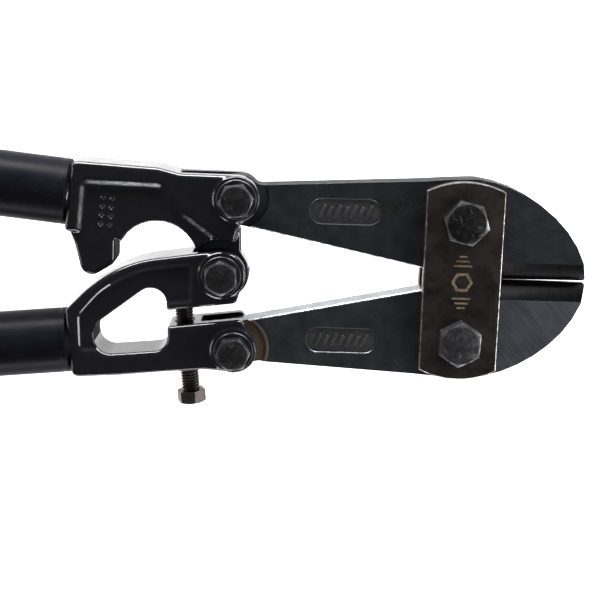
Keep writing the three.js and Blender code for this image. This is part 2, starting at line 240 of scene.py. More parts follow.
def combine(tree, operation, first, second):
    node = tree.nodes.new("ShaderNodeMath")
    node.operation = operation
    for socket, value in zip(node.inputs, (first, second)):
        if isinstance(value, bpy.types.NodeSocket):
            tree.links.new(value, socket)
        else:
            socket.default_value = value
    return node.outputs[0]


def blend(tree, amount, first, second):
    node = tree.nodes.new("ShaderNodeMixRGB")
    for socket, value in zip(node.inputs, (amount, first, second)):
        if isinstance(value, bpy.types.NodeSocket):
            tree.links.new(value, socket)
        elif hasattr(value, "__len__"):
            socket.default_value = (*value[:3], 1.0)
        else:
            socket.default_value = value
    return node.outputs[0]


def raise_surface(tree, shader, height, strength, distance, under=None):
    inputs = {"Height": height, "Strength": strength, "Distance": distance}
    if under is not None:
        inputs["Normal"] = under
    bump = add_node(tree, "ShaderNodeBump", **inputs)
    tree.links.new(bump.outputs[0], shader.inputs["Normal"])
    return bump.outputs[0]


def lay_on(tree, shader, tint, rough):
    """Links a finish's colour and roughness to its shader."""
    tree.links.new(tint, shader.inputs["Base Color"])
    tree.links.new(rough, shader.inputs["Roughness"])


def scaled(colour, factor):
    return tuple(min(1.0, part * factor) for part in colour[:3])


def scratches(tree, place, scale, turn, width=0.02):
    """Thin random lines: the narrow middle band of a stretched noise."""
    lines = turned_place(tree, place, scale, turn)
    grain = noise(tree, lines, 1.0, 2.0, 0.4, 0.05)
    away = combine(tree, "ABSOLUTE", combine(tree, "SUBTRACT", grain, 0.5), 0.0)
    return span(tree, away, 0.0, width, 1.0, 0.0)


def forged_enamel(colours):
    """Thick gloss enamel over a forging: slow waves, fine orange peel, dust."""
    material, tree, shader, place = start_material(
        "forged_enamel", Metallic=0.0, Specular_IOR_Level=0.4)
    waves = noise(tree, place, 95.0, 3.0, 0.5, 0.4)
    peel = noise(tree, place, 1300.0, 2.0, 0.5)
    dust = span(tree, noise(tree, place, 2100.0, 2.0, 0.6), 0.70, 0.80)
    cloud = noise(tree, place, 160.0, 5.0, 0.6)
    tint = blend(tree, cloud, scaled(colours.enamel, 0.75), scaled(colours.enamel, 1.5))
    tint = blend(tree, combine(tree, "MULTIPLY", dust, 0.25), tint, (0.06, 0.06, 0.062))
    facing = add_node(tree, "ShaderNodeSeparateXYZ", Vector=add_node(
        tree, "ShaderNodeNewGeometry").outputs["True Normal"]).outputs["Z"]
    wall = span(tree, combine(tree, "ABSOLUTE", facing, 0.0), 0.10, 0.45, 0.42, 0.0)
    lay_on(tree, shader, tint, combine(
        tree, "ADD", span(tree, cloud, 0.3, 0.7, 0.11, 0.21), wall))
    low = raise_surface(tree, shader, waves, 0.30, 0.0006)
    raise_surface(tree, shader, peel, 0.10, 0.00012, low)
    return material


def tube_coating(colours):
    """Satin powder coat with a fine pebble and faint rub marks."""
    material, tree, shader, place = start_material(
        "tube_coating", Metallic=0.0, Specular_IOR_Level=0.03)
    pebble = noise(tree, place, 2600.0, 2.0, 0.5)
    cloud = noise(tree, place, 70.0, 5.0, 0.6)
    rubs = scratches(tree, place, (25.0, 420.0, 420.0), (0.0, 0.0, 0.1), 0.012)
    tint = blend(tree, cloud, scaled(colours.coating, 0.7), scaled(colours.coating, 1.5))
    tint = blend(tree, combine(tree, "MULTIPLY", rubs, 0.03), tint, (0.09, 0.09, 0.095))
    lay_on(tree, shader, tint, span(tree, cloud, 0.3, 0.7, 0.30, 0.40))
    raise_surface(tree, shader, pebble, 0.12, 0.0001)
    return material


def rubbed_ring(tree, place, tint, centre):
    """Brown fretting round a pivot, ending in a bright arc, where an ear has rubbed."""
    reach = add_node(tree, "ShaderNodeVectorMath", {"operation": "DISTANCE"})
    flat = add_node(tree, "ShaderNodeVectorMath", {"operation": "MULTIPLY"})
    tree.links.new(place, flat.inputs[0])
    flat.inputs[1].default_value = (1.0, 1.0, 0.0)
    tree.links.new(flat.outputs[0], reach.inputs[0])
    reach.inputs[1].default_value = (centre.x, centre.y, 0.0)
    away = reach.outputs["Value"]
    streaks = noise(tree, turned_place(tree, place, (1500.0, 160.0, 160.0)), 1.0, 4.0, 0.65)
    inside = span(tree, away, 0.0150, 0.0143)
    rust = combine(tree, "MULTIPLY", inside, span(tree, streaks, 0.35, 0.65, 0.25, 0.95))
    tint = blend(tree, rust, tint, (0.115, 0.078, 0.052))
    off = combine(tree, "ABSOLUTE", combine(tree, "SUBTRACT", away, 0.0146), 0.0)
    return blend(tree, span(tree, off, 0.00035, 0.0, 0.0, 0.5), tint, (0.26, 0.22, 0.18))


def jaw_steel(name, colour, grind_turn, grind_strength, sheen, rub_at=None):
    """Oxidised jaw steel: mottled scale on the arm, grinding marks on the nose."""
    material, tree, shader, place = start_material(name, Metallic=0.72)
    split = add_node(tree, "ShaderNodeSeparateXYZ", Vector=place)
    along = split.outputs["X"]
    nose = span(tree, along, JAW_LINE - 0.004, JAW_LINE + 0.014, smooth=True)
    mottle = noise(tree, place, 120.0, 6.0, 0.65)
    fine = noise(tree, place, 900.0, 3.0, 0.6)
    grind_place = turned_place(tree, place, (60.0, 2400.0, 2400.0), (0.0, 0.0, grind_turn))
    grind = noise(tree, grind_place, 1.0, 3.0, 0.65, 0.1)
    scuffs = scratches(tree, place, (70.0, 900.0, 500.0), (0.0, 0.0, -0.9), 0.010)
    scuffs = combine(tree, "MULTIPLY", scuffs, span(tree, noise(tree, place, 45.0), 0.52, 0.62))
    arm = blend(tree, span(tree, mottle, 0.3, 0.7), scaled(colour, 0.70), scaled(colour, 1.20))
    # Painted shade: the arm darkens towards the side plates, as if they shaded it.
    oiled = span(tree, along, JAW_LINE - 0.090, JAW_LINE - 0.015, 0.0, 0.45)
    arm = blend(tree, oiled, arm, scaled(colour, 0.45))
    strokes = span(tree, grind, 0.35, 0.65)
    ground = blend(tree, strokes, scaled(colour, sheen), scaled(colour, sheen * 1.75))
    tint = blend(tree, combine(tree, "MULTIPLY", nose, grind_strength), arm, ground)
    tint = blend(tree, combine(tree, "MULTIPLY", scuffs, 0.12), tint, (0.22, 0.22, 0.23))
    if rub_at is not None:
        tint = rubbed_ring(tree, place, tint, rub_at)
    lay_on(tree, shader, tint, combine(
        tree, "ADD", span(tree, mottle, 0.3, 0.7, 0.40, 0.52), combine(
            tree, "MULTIPLY", combine(tree, "SUBTRACT", grind, 0.5), 0.15)))
    height = combine(tree, "MULTIPLY", grind, combine(tree, "MULTIPLY", nose, grind_strength))
    first = raise_surface(tree, shader, height, 0.35, 0.00008)
    raise_surface(tree, shader, fine, 0.12, 0.00010, first)
    return material


def ground_bevel(name, colour):
    """Cutting bevel: finely ground across the edge."""
    material, tree, shader, place = start_material(name, Metallic=0.8)
    grind = noise(tree, turned_place(tree, place, (2600.0, 90.0, 90.0)), 1.0, 3.0, 0.6)
    cloud = noise(tree, place, 150.0, 4.0, 0.6)
    tint = blend(tree, grind, scaled(colour, 0.8), scaled(colour, 1.35))
    tint = blend(tree, span(tree, cloud, 0.45, 0.75, 0.0, 0.5), tint, scaled(colour, 0.6))
    lay_on(tree, shader, tint, span(tree, grind, 0.3, 0.7, 0.34, 0.46))
    raise_surface(tree, shader, grind, 0.25, 0.00006)
    return material


def jaw_side(colour):
    """Matt sides of the jaws, streaked through the thickness; the caller passes a darker copy of the
    jaw steel, which paints shade on them.
    """
    material, tree, shader, place = start_material("jaw_side", Metallic=0.15, Specular_IOR_Level=0.12)
    streaks = noise(tree, turned_place(tree, place, (700.0, 700.0, 60.0)), 1.0, 4.0, 0.6)
    cloud = noise(tree, place, 140.0, 4.0, 0.6)
    tint = blend(tree, streaks, scaled(colour, 0.5), scaled(colour, 1.2))
    tint = blend(tree, span(tree, cloud, 0.35, 0.7), tint, scaled(colour, 0.6))
    lay_on(tree, shader, tint, span(tree, cloud, 0.3, 0.7, 0.55, 0.75))
    raise_surface(tree, shader, streaks, 0.25, 0.0001)
    return material


def milled_side(colour):
    """Bare milled steel on the inner sides of the jaws, with a light film of oil."""
    material, tree, shader, place = start_material("milled_side", Metallic=0.9)
    strokes = noise(tree, turned_place(tree, place, (1500.0, 1500.0, 120.0)), 1.0, 3.0, 0.6)
    stain = noise(tree, place, 180.0, 5.0, 0.65)
    tint = blend(tree, strokes, scaled(colour, 0.75), scaled(colour, 1.3))
    tint = blend(tree, span(tree, stain, 0.50, 0.72, 0.0, 0.7), tint, scaled(colour, 0.45))
    lay_on(tree, shader, tint, span(tree, stain, 0.3, 0.7, 0.20, 0.34))
    raise_surface(tree, shader, strokes, 0.15, 0.00005)
    return material


def glossy_wall(colours):
    """A lighter, glossier copy of the enamel for the forgings' walls that face +Y, towards the far
    softbox: painted light.
    """
    material, tree, shader, place = start_material(
        "glossy_wall", Metallic=0.0, IOR=1.5, Specular_IOR_Level=0.55)
    runs = noise(tree, turned_place(tree, place, (160.0, 160.0, 60.0)), 1.0, 3.0, 0.5)
    cloud = noise(tree, place, 170.0, 4.0, 0.6)
    tint = blend(tree, cloud, scaled(colours.enamel, 0.9), scaled(colours.enamel, 1.8))
    lay_on(tree, shader, tint, span(tree, cloud, 0.3, 0.7, 0.14, 0.24))
    raise_surface(tree, shader, runs, 0.25, 0.0003)
    return material


def oval_floor(colour):
    """As-forged floor of the ovals: dull, slightly brown scale with a coarse grain."""
    material, tree, shader, place = start_material("oval_floor", Metallic=0.5)
    scale = noise(tree, place, 620.0, 5.0, 0.65)
    tint = blend(tree, scale, scaled(colour, 0.8), scaled(colour, 1.7))
    brown = span(tree, noise(tree, place, 230.0), 0.4, 0.7, 0.0, 0.5)
    tint = blend(tree, brown, tint, (0.032, 0.027, 0.023))
    lay_on(tree, shader, tint, span(tree, scale, 0.3, 0.7, 0.50, 0.66))
    raise_surface(tree, shader, scale, 0.45, 0.0002)
    return material


def forged_wall(colours):
    """A darker matt black copy of the enamel for the forgings' other walls: painted shade."""
    material, tree, shader, place = start_material("forged_wall", Metallic=0.0, Specular_IOR_Level=0.08)
    grain = noise(tree, place, 900.0, 4.0, 0.65)
    cloud = noise(tree, place, 150.0, 4.0, 0.6)
    tint = blend(tree, cloud, scaled(colours.enamel, 0.6), scaled(colours.enamel, 1.4))
    lay_on(tree, shader, tint, span(tree, cloud, 0.3, 0.7, 0.70, 0.85))
    raise_surface(tree, shader, grain, 0.3, 0.0002)
    return material


def worn_edge(name, colour, roughness=0.38):
    """Edges where the black oxide has rubbed through to steel; on the jaws' inner chamfers the
    near-white steel is partly a painted highlight.
    """
    material, tree, shader, place = start_material(name, Metallic=0.9)
    patches = noise(tree, place, 340.0, 5.0, 0.7)
    tint = blend(tree, span(tree, patches, 0.42, 0.60), colour, scaled(colour, 3.4))
    lay_on(tree, shader, tint, span(tree, patches, 0.3, 0.7, roughness + 0.1, roughness - 0.08))
    return material


def plate_steel(colours):
    """Brown-black oxide over a plate ground lengthways, with oily stains."""
    material, tree, shader, place = start_material("plate_oxide", Metallic=0.75)
    lengthways = turned_place(tree, place, (1900.0, 34.0, 900.0), (0.0, 0.0, 0.03))
    brushing = noise(tree, lengthways, 1.0, 4.0, 0.6)
    stain = noise(tree, place, 95.0, 6.0, 0.65, 0.5)
    speck = span(tree, noise(tree, place, 1500.0, 2.0, 0.6), 0.68, 0.78)
    colour = colours.plate_oxide
    tint = blend(tree, span(tree, stain, 0.3, 0.7), scaled(colour, 0.55), scaled(colour, 1.45))
    patch = span(tree, noise(tree, place, 75.0, 5.0, 0.7, 0.8), 0.52, 0.68, 0.0, 0.55)
    tint = blend(tree, patch, tint, (0.034, 0.021, 0.014))
    tint = blend(tree, span(tree, brushing, 0.50, 0.80, 0.0, 0.16), tint, scaled(colour, 2.0))
    tint = blend(tree, combine(tree, "MULTIPLY", speck, 0.3), tint, (0.16, 0.12, 0.09))
    lay_on(tree, shader, tint, span(tree, stain, 0.3, 0.7, 0.34, 0.50))
    raise_surface(tree, shader, brushing, 0.22, 0.00007)
    return material


def bolt_steel(name, colour, rust=0.0, marked=0.22):
    """Dark oxidised fastener steel with handling scratches."""
    material, tree, shader, place = start_material(name, Metallic=0.85)
    mottle = noise(tree, place, 420.0, 5.0, 0.65)
    marks = scratches(tree, place, (24.0, 620.0, 300.0), (0.0, 0.0, 0.45), 0.012)
    other = scratches(tree, place, (560.0, 24.0, 300.0), (0.0, 0.0, 0.30), 0.010)
    marks = combine(tree, "MAXIMUM", marks, other)
    marks = combine(tree, "MULTIPLY", marks, span(tree, noise(tree, place, 260.0, 2.0), 0.50, 0.60))
    tint = blend(tree, span(tree, mottle, 0.3, 0.7), scaled(colour, 0.65), scaled(colour, 1.35))
    tint = blend(tree, combine(tree, "MULTIPLY", marks, marked), tint, (0.34, 0.34, 0.34))
    if rust:
        bloom = span(tree, noise(tree, place, 700.0, 4.0, 0.7), 0.50, 0.66, 0.0, rust)
        tint = blend(tree, bloom, tint, (0.13, 0.06, 0.025))
    lay_on(tree, shader, tint, span(tree, mottle, 0.3, 0.7, 0.32, 0.46))
    raise_surface(tree, shader, mottle, 0.12, 0.0001)
    return material


def grip_rubber(colours):
    """Moulded rubber: fine grain, dull, with a slight bloom."""
    material, tree, shader, place = start_material("grip_rubber", Metallic=0.0, Specular_IOR_Level=0.35)
    grain = noise(tree, place, 1900.0, 3.0, 0.6)
    bloom = noise(tree, place, 60.0, 5.0, 0.6)
    tint = blend(tree, bloom, scaled(colours.rubber, 0.7), scaled(colours.rubber, 1.7))
    lay_on(tree, shader, tint, span(tree, bloom, 0.3, 0.7, 0.60, 0.78))
    raise_surface(tree, shader, grain, 0.35, 0.00015)
    return material


def gilt_print(colours):
    """Worn gilt print: thin metallic ink with gaps."""
    material, tree, shader, place = start_material("gilt_print", Metallic=0.6)
    wear = noise(tree, place, 900.0, 5.0, 0.7)
    ink = span(tree, wear, 0.40, 0.62)
    tint = blend(tree, ink, scaled(colours.gilt, 0.35), scaled(colours.gilt, 1.15))
    lay_on(tree, shader, tint, span(tree, wear, 0.3, 0.7, 0.55, 0.36))
    raise_surface(tree, shader, wear, 0.1, 0.00005)
    return material


def floor_paper(colour):
    material, tree, shader, place = start_material(
        "floor_paper", Roughness=0.9, Specular_IOR_Level=0.1, Emission_Strength=0.70)
    cloud = noise(tree, place, 3.0, 3.0, 0.5)
    tint = blend(tree, cloud, scaled(colour, 0.985), colour)
    tree.links.new(tint, shader.inputs["Base Color"])
    return material


# ---------------------------------------------------------------- making pieces


def make_piece(name, bm, body, materials, nodes, crease=35.0, flat_faces=False):
    """Turns a bmesh into a finished piece that stands for the named CAD nodes."""
    mesh = bpy.data.meshes.new(name)
    bm.to_mesh(mesh)
    bm.free()
    for polygon in mesh.polygons:
        polygon.use_smooth = True
    mesh.set_sharp_from_angle(angle=math.radians(crease))
    for material in materials:
        mesh.materials.append(material)
    piece = bpy.data.objects.new(name, mesh)
    bpy.context.scene.collection.objects.link(piece)
    if flat_faces:
        flats = piece.modifiers.new("Flat faces", "WEIGHTED_NORMAL")
        flats.keep_sharp = True
        flats.weight = 90
    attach(piece, body)
    if nodes:
        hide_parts(*nodes)
    return piece


def settle(piece):
    """Makes the modifiers' result the piece's own mesh."""
    shaped = bpy.data.meshes.new_from_object(
        piece.evaluated_get(bpy.context.evaluated_depsgraph_get()))
    piece.modifiers.clear()
    piece.data = shaped


def merged_copy(node):
    """A joined copy of a CAD node's mesh, with its flat faces whole again."""
    bm = bmesh.new()
    bm.from_mesh(frame["nodes"][node].data)
    bmesh.ops.remove_doubles(bm, verts=bm.verts, dist=2e-6)
    bmesh.ops.dissolve_limit(
        bm, angle_limit=math.radians(1.0), verts=bm.verts, edges=bm.edges,
        use_dissolve_boundaries=False)
    return bm


def soften_edges(bm, offset, segments=2, sharper_than=32.0, material=None, keep=None):
    """Bevels every edge sharper than an angle; the new faces may take a material."""
    sharp = []
    for edge in bm.edges:
        if len(edge.link_faces) != 2 or edge.calc_face_angle(0.0) < math.radians(sharper_than):
            continue
        if keep is None or keep(edge):
            sharp.append(edge)
    made = bmesh.ops.bevel(
        bm, geom=sharp, offset=offset, offset_type="OFFSET", segments=segments, profile=0.5,
        affect="EDGES", clamp_overlap=True, material=-1)
    if material is not None:
        for face in made["faces"]:
            face.material_index = material
    return made["faces"]


def spin_profile(bm, profile, facets, closed=False):
    """Turns a [radius, height] profile about +Z into a closed shell."""
    verts = [bm.verts.new((radius, 0.0, height)) for radius, height in profile]
    pairs = list(zip(verts, verts[1:]))
    if closed:
        pairs.append((verts[-1], verts[0]))
    edges = [bm.edges.new(pair) for pair in pairs]
    bmesh.ops.spin(
        bm, geom=verts + edges, cent=(0, 0, 0), axis=(0, 0, 1), angle=2 * math.pi,
        steps=facets, use_merge=True, use_duplicate=False)
    bmesh.ops.remove_doubles(bm, verts=bm.verts, dist=1e-7)
    bmesh.ops.recalc_face_normals(bm, faces=bm.faces)


def fresh_part(bm, build):
    """Builds one shell in its own bmesh and adds it to another."""
    part = bmesh.new()
    build(part)
    mesh = bpy.data.meshes.new("shell")
    part.to_mesh(mesh)
    part.free()
    bm.from_mesh(mesh)
    bpy.data.meshes.remove(mesh)


def grow_ring(bm, rim, radius_of, height_of):
    """Extrudes a rim and sets the new ring's radius and height for each angle."""
    grown = bmesh.ops.extrude_edge_only(bm, edges=rim)["geom"]
    verts = {item for item in grown if isinstance(item, bmesh.types.BMVert)}
    for vert in verts:
        angle = math.atan2(vert.co.y, vert.co.x)
        radius = radius_of(angle)
        vert.co = (radius * math.cos(angle), radius * math.sin(angle), height_of(angle))
    return [item for item in grown if isinstance(item, bmesh.types.BMEdge)
            and item.verts[0] in verts and item.verts[1] in verts]


def hex_head(bm, flats, height, facets=72, both=False, hole=0.0):
    """A hexagon standing on z = 0, its corners cut back by a cone; rims take material 1."""
    apothem = flats / 2
    chamfer = math.radians(28.0)
    face_radius = apothem * 0.93

    def reach(angle):
        return apothem / math.cos((angle + math.pi / 6) % (math.pi / 3) - math.pi / 6)

    def cut(angle):
        return max(0.0, reach(angle) - apothem * 0.97) * math.tan(chamfer) + 0.00015

    def level_at(value):
        return lambda angle: value

    start = hole if hole else face_radius
    bmesh.ops.create_circle(bm, segments=facets, radius=start, cap_ends=not hole)
    rim = list(bm.edges)
    if hole:
        bmesh.ops.translate(bm, verts=bm.verts, vec=(0, 0, height / 2))
        rim = grow_ring(bm, rim, level_at(hole), level_at(0.0005))
        rim = grow_ring(bm, rim, level_at(hole + 0.0005), level_at(0.0))
        rim = grow_ring(bm, rim, level_at(face_radius), level_at(0.0))
    rim = grow_ring(bm, rim, reach, cut if both else level_at(0.0001))
    rim = grow_ring(bm, rim, reach, lambda angle: height - cut(angle))
    sides = set(bm.faces)
    rim = grow_ring(bm, rim, level_at(face_radius), level_at(height))
    for face in bm.faces:
        if face not in sides:
            face.material_index = 1
    if hole:
        rim = grow_ring(bm, rim, level_at(hole + 0.0005), level_at(height))
        rim = grow_ring(bm, rim, level_at(hole), level_at(height - 0.0005))
        grow_ring(bm, rim, level_at(hole), level_at(height / 2))
        bmesh.ops.remove_doubles(bm, verts=bm.verts, dist=1e-7)
    else:
        bmesh.ops.edgeloop_fill(bm, edges=rim, mat_nr=0)
    bmesh.ops.recalc_face_normals(bm, faces=bm.faces)


def threaded_rod(bm, radius, pitch, low, high, facets=36):
    """A rod with a helical thread, closed at both ends."""
    depth = pitch * 0.6
    per_turn = 6
    count = max(2, round((high - low) / pitch * per_turn))
    step = (high - low) / count
    circle = bmesh.ops.create_circle(bm, segments=facets, radius=radius, cap_ends=True)["verts"]
    bmesh.ops.translate(bm, verts=circle, vec=(0, 0, low))
    rim = list(bm.edges)
    for _ in range(count):
        grown = bmesh.ops.extrude_edge_only(bm, edges=rim)["geom"]
        verts = [item for item in grown if isinstance(item, bmesh.types.BMVert)]
        rim = [item for item in grown if isinstance(item, bmesh.types.BMEdge)
               and all(vert in verts for vert in item.verts)]
        bmesh.ops.translate(bm, verts=verts, vec=(0, 0, step))
    bmesh.ops.edgeloop_fill(bm, edges=rim)
    for vert in bm.verts:
        angle = math.atan2(vert.co.y, vert.co.x) / (2 * math.pi)
        phase = ((vert.co.z - low) / pitch - angle) % 1.0
        ridge = abs(phase * 2 - 1)
        ends = min(1.0, (high - vert.co.z) / pitch, (vert.co.z - low) / pitch + 0.4)
        size = radius - depth * (1 - min(1.0, ridge * 1.25)) - 0.3 * depth * (1 - ends)
        flat = Vector((vert.co.x, vert.co.y)).normalized() * size
        vert.co.x, vert.co.y = flat.x, flat.y
    bmesh.ops.recalc_face_normals(bm, faces=bm.faces)


def place_at(bm, matrix):
    bmesh.ops.transform(bm, matrix=matrix, verts=bm.verts)


def plain_rod(bm, radius, low, high, facets=36):
    spin_profile(bm, [(0, low), (radius, low), (radius, high), (0, high)], facets)


def place_along(bm, out, start):
    """Takes a shell turned about +Z to a start point and an axis that lies flat."""
    up = Vector((0, 0, 1))
    matrix = Matrix((up, out.cross(up), out)).transposed().to_4x4()
    matrix.translation = start
    place_at(bm, matrix)


def place_on_handle(bm, side):
    place_along(
        bm, Vector((-math.cos(HANDLE_ANGLE), side * math.sin(HANDLE_ANGLE), 0)),
        Vector((HANDLE_START.x, HANDLE_START.y * side, MID)))


FINISHES = {}


def finishes():
    """The materials, made once and shared by the pieces."""
    if not FINISHES:
        colours = bpy.context.scene.cutter_finishes
        jaw = colours.jaw_oxide
        FINISHES.update(
            enamel=forged_enamel(colours),
            coating=tube_coating(colours),
            upper_jaw=jaw_steel("upper_jaw_steel", scaled(jaw, 0.62), 0.35, 0.45, 1.1),
            lower_jaw=jaw_steel("lower_jaw_steel", scaled(jaw, 0.86), -0.85, 1.0, 1.7, LOWER_PIVOT),
            upper_bevel=ground_bevel("upper_bevel", scaled(jaw, 0.18)),
            lower_bevel=ground_bevel("lower_bevel", scaled(jaw, 0.17)),
            jaw_edge=worn_edge("jaw_edge", scaled(jaw, 2.2)),
            # Painted shade: the jaws' side faces take the jaw steel at a quarter of its colour.
            jaw_side=jaw_side(scaled(jaw, 0.25)),
            oval_floor=oval_floor(scaled(jaw, 0.40)),
            # Partly worn bare steel and partly a painted highlight: near-white chamfers on the arms'
            # inner corners.
            bare_edge=worn_edge("bare_edge", (0.26, 0.27, 0.29), 0.30),
            inner_side=milled_side((0.10, 0.11, 0.13)),
            # Lit and shaded copies of the enamel for the forgings' walls: painted light and painted
            # shade.
            wet_wall=glossy_wall(colours),
            forged_wall=forged_wall(colours),
            plate=plate_steel(colours),
            plate_edge=worn_edge("plate_edge", (0.060, 0.057, 0.054), 0.28),
            upper_bolt=bolt_steel("upper_bolt_oxide", scaled(colours.bolt_oxide, 0.26), marked=0.4),
            lower_bolt=bolt_steel("lower_bolt_oxide", scaled(colours.bolt_oxide, 0.85), marked=0.3),
            bolt_rim=worn_edge("bolt_rim", scaled(colours.bolt_oxide, 0.9), 0.36),
            washer=bolt_steel("washer_oxide", scaled(colours.bolt_oxide, 0.55)),
            pivot=bolt_steel("pivot_oxide", scaled(colours.bolt_oxide, 0.42)),
            screw=bolt_steel("screw_steel", colours.screw_steel, 0.35),
            rubber=grip_rubber(colours),
            gilt=gilt_print(colours),
        )
    return FINISHES


# ---------------------------------------------------------------- operators


class CUTTERS_OT_jaws(bpy.types.Operator):
    """Make the two forged jaws with ground bevels, worn edges, painted shade on the sides and painted
    highlights on the inner chamfers
    """
    bl_idname = "cutters.jaws"
    bl_label = "Jaws"
    BEVEL, EDGE, SIDE, OVAL, BARE, INNER = range(1, 7)  # material slots after the jaw's own
    LAND_HALF = 0.0014  # half the height of the flat land on a cutting edge
    LAND_REACH = 0.0012  # the land lies nearer than this to the middle line
    DRAWN_IN = 0.030  # the edges are drawn together up to here from the jaw bolts
    LONG_EDGE = 0.060  # only the arm's inner corners are longer than this
    ARM_FROM = 0.012  # the arm starts this far behind the jaw bolts

    def execute(self, context):
        for word, side in (("upper", 1), ("lower", -1)):
            bm = merged_copy(f"{word}_jaw")
            face_level = level(f"{word}_jaw", True)
            for face in bm.faces:
                normal = face.normal
                if abs(normal.z) < 0.2:
                    on_arm = face.calc_center_median().x < JAW_LINE - self.ARM_FROM
                    facing_in = on_arm and normal.y * side < -0.5
                    # Side faces take the darker copy of the jaw steel as painted shade; faces on the
                    # arms that face inwards take milled steel.
                    face.material_index = self.INNER if facing_in else self.SIDE
                    if all(abs(vert.co.y) < self.LAND_REACH for vert in face.verts):
                        face.material_index = self.BEVEL
                elif abs(normal.x) < 0.1 and abs(normal.z) < 0.97 and face.calc_area() > 2e-5:
                    face.material_index = self.BEVEL
                elif abs(face.calc_center_median().z - face_level + OVAL_DEPTH) < 0.00005:
                    face.material_index = self.OVAL

            def in_oval(edge):
                return all(
                    vert.co.z > face_level - 0.0006
                    and -0.072 < vert.co.x - JAW_LINE < -0.028
                    and 0.0215 < abs(vert.co.y) < 0.0341 for vert in edge.verts)

            def at_cut(vert):
                return abs(vert.co.z - MID) < self.LAND_HALF and abs(vert.co.y) < self.LAND_REACH

            def cutting(edge):
                return all(at_cut(vert) for vert in edge.verts)

            def inner_corner(edge):
                walls = [face.normal for face in edge.link_faces]
                return (
                    edge.calc_length() > self.LONG_EDGE and max(abs(wall.z) for wall in walls) > 0.9
                    and min(wall.y * side for wall in walls) < -0.5)

            for vert in bm.verts:
                if at_cut(vert) and vert.co.x < JAW_LINE + self.DRAWN_IN:
                    vert.co.y *= 0.3
            soften_edges(bm, 0.00025, 3, 32.0, keep=in_oval)
            # The arms' long inner corners get a wider chamfer in near-white steel: partly wear, partly
            # a painted highlight.
            soften_edges(bm, 0.0007, 3, 32.0, material=self.BARE, keep=inner_corner)
            soften_edges(
                bm, 0.00035, 2, 32.0, material=self.EDGE,
                keep=lambda edge: not in_oval(edge) and not cutting(edge))
            make_piece(
                f"{word}_jaw_forging", bm, f"{word}_jaw_arm",
                [finishes()[key] for key in (
                    f"{word}_jaw", f"{word}_bevel", "jaw_edge", "jaw_side", "oval_floor", "bare_edge",
                    "inner_side")],
                [f"{word}_jaw"], flat_faces=True)
            self.raised_ribs(word, side, face_level)
        return {"FINISHED"}

    def raised_ribs(self, word, side, face_level):
        """A row of slanted cast ribs on the floor of the jaw's oval."""
        bm = bmesh.new()
        slant = Matrix.Rotation(-0.45, 3, "Z")
        middle_rib = Vector((JAW_LINE - 0.0498, 0.0278 * side, face_level - OVAL_DEPTH + 0.0001))
        spacing = 0.0033
        for k in range(-3, 4):
            length = 0.0062 if k % 2 else 0.0046
            made = bmesh.ops.create_cube(bm, size=1.0)["verts"]
            bmesh.ops.scale(bm, verts=made, vec=(0.0014, length, 0.0006))
            bmesh.ops.rotate(bm, verts=made, cent=(0, 0, 0), matrix=slant)
            bmesh.ops.translate(bm, verts=made, vec=middle_rib + Vector((k * spacing, 0, 0)))
        soften_edges(bm, 0.00025, 3)
        make_piece(
            f"{word}_jaw_ribs", bm, f"{word}_jaw_arm",
            [finishes()["oval_floor"]], [])


class CUTTERS_OT_side_plates(bpy.types.Operator):
    """Make the two side plates with eased edges"""
    bl_idname = "cutters.side_plates"
    bl_label = "Side plates"

    def execute(self, context):
        for word in ("front", "rear"):
            bm = merged_copy(f"{word}_side_plate")
            soften_edges(bm, 0.00025, 2, 25.0, material=1)
            make_piece(
                f"{word}_plate", bm, "link_plates",
                [finishes()["plate"], finishes()["plate_edge"]], [f"{word}_side_plate"],
                flat_faces=True)
        return {"FINISHED"}


class CUTTERS_OT_plate_mark(bpy.types.Operator):
    """Print a plain gilt mark on the front plate: a hexagon between two sets of bars"""
    bl_idname = "cutters.plate_mark"
    bl_label = "Plate mark"

    def execute(self, context):
        top = level("front_side_plate", True)
        bm = bmesh.new()
        bars = (0.0078, 0.0056, 0.0034)  # lengths, from the hexagon outwards
        for side in (1, -1):
            for k, length in enumerate(bars):
                made = bmesh.ops.create_cube(bm, size=1.0)["verts"]
                bmesh.ops.scale(bm, verts=made, vec=(length, 0.0008, PRINT_THICKNESS))
                bmesh.ops.translate(bm, verts=made, vec=(
                    JAW_LINE, side * (0.0070 + k * 0.0020), top + PRINT_THICKNESS / 2))
        fresh_part(bm, self.hexagon_ring(top))
        bmesh.ops.recalc_face_normals(bm, faces=bm.faces)
        make_piece("plate_mark", bm, "link_plates", [finishes()["gilt"]], [])
        return {"FINISHED"}

    def hexagon_ring(self, top):
        def build(bm):
            turn = Matrix.Rotation(math.radians(30), 3, "Z")
            rims = []
            for height in (0.0, PRINT_THICKNESS):
                for radius in (0.0046, 0.0032):
                    made = bmesh.ops.create_circle(bm, segments=6, radius=radius)["verts"]
                    bmesh.ops.rotate(bm, verts=made, cent=(0, 0, 0), matrix=turn)
                    bmesh.ops.translate(bm, verts=made, vec=(0, 0, height))
                    rims.append([
                        edge for edge in bm.edges if edge.verts[0] in made and edge.verts[1] in made])
            low_outer, low_inner, high_outer, high_inner = rims
            for first, second in (
                    (low_outer, low_inner), (high_outer, high_inner),
                    (low_outer, high_outer), (low_inner, high_inner)):
                bmesh.ops.bridge_loops(bm, edges=first + second)
            bmesh.ops.recalc_face_normals(bm, faces=bm.faces)
            bmesh.ops.translate(bm, verts=bm.verts, vec=(JAW_LINE, 0.0, top))
        return build


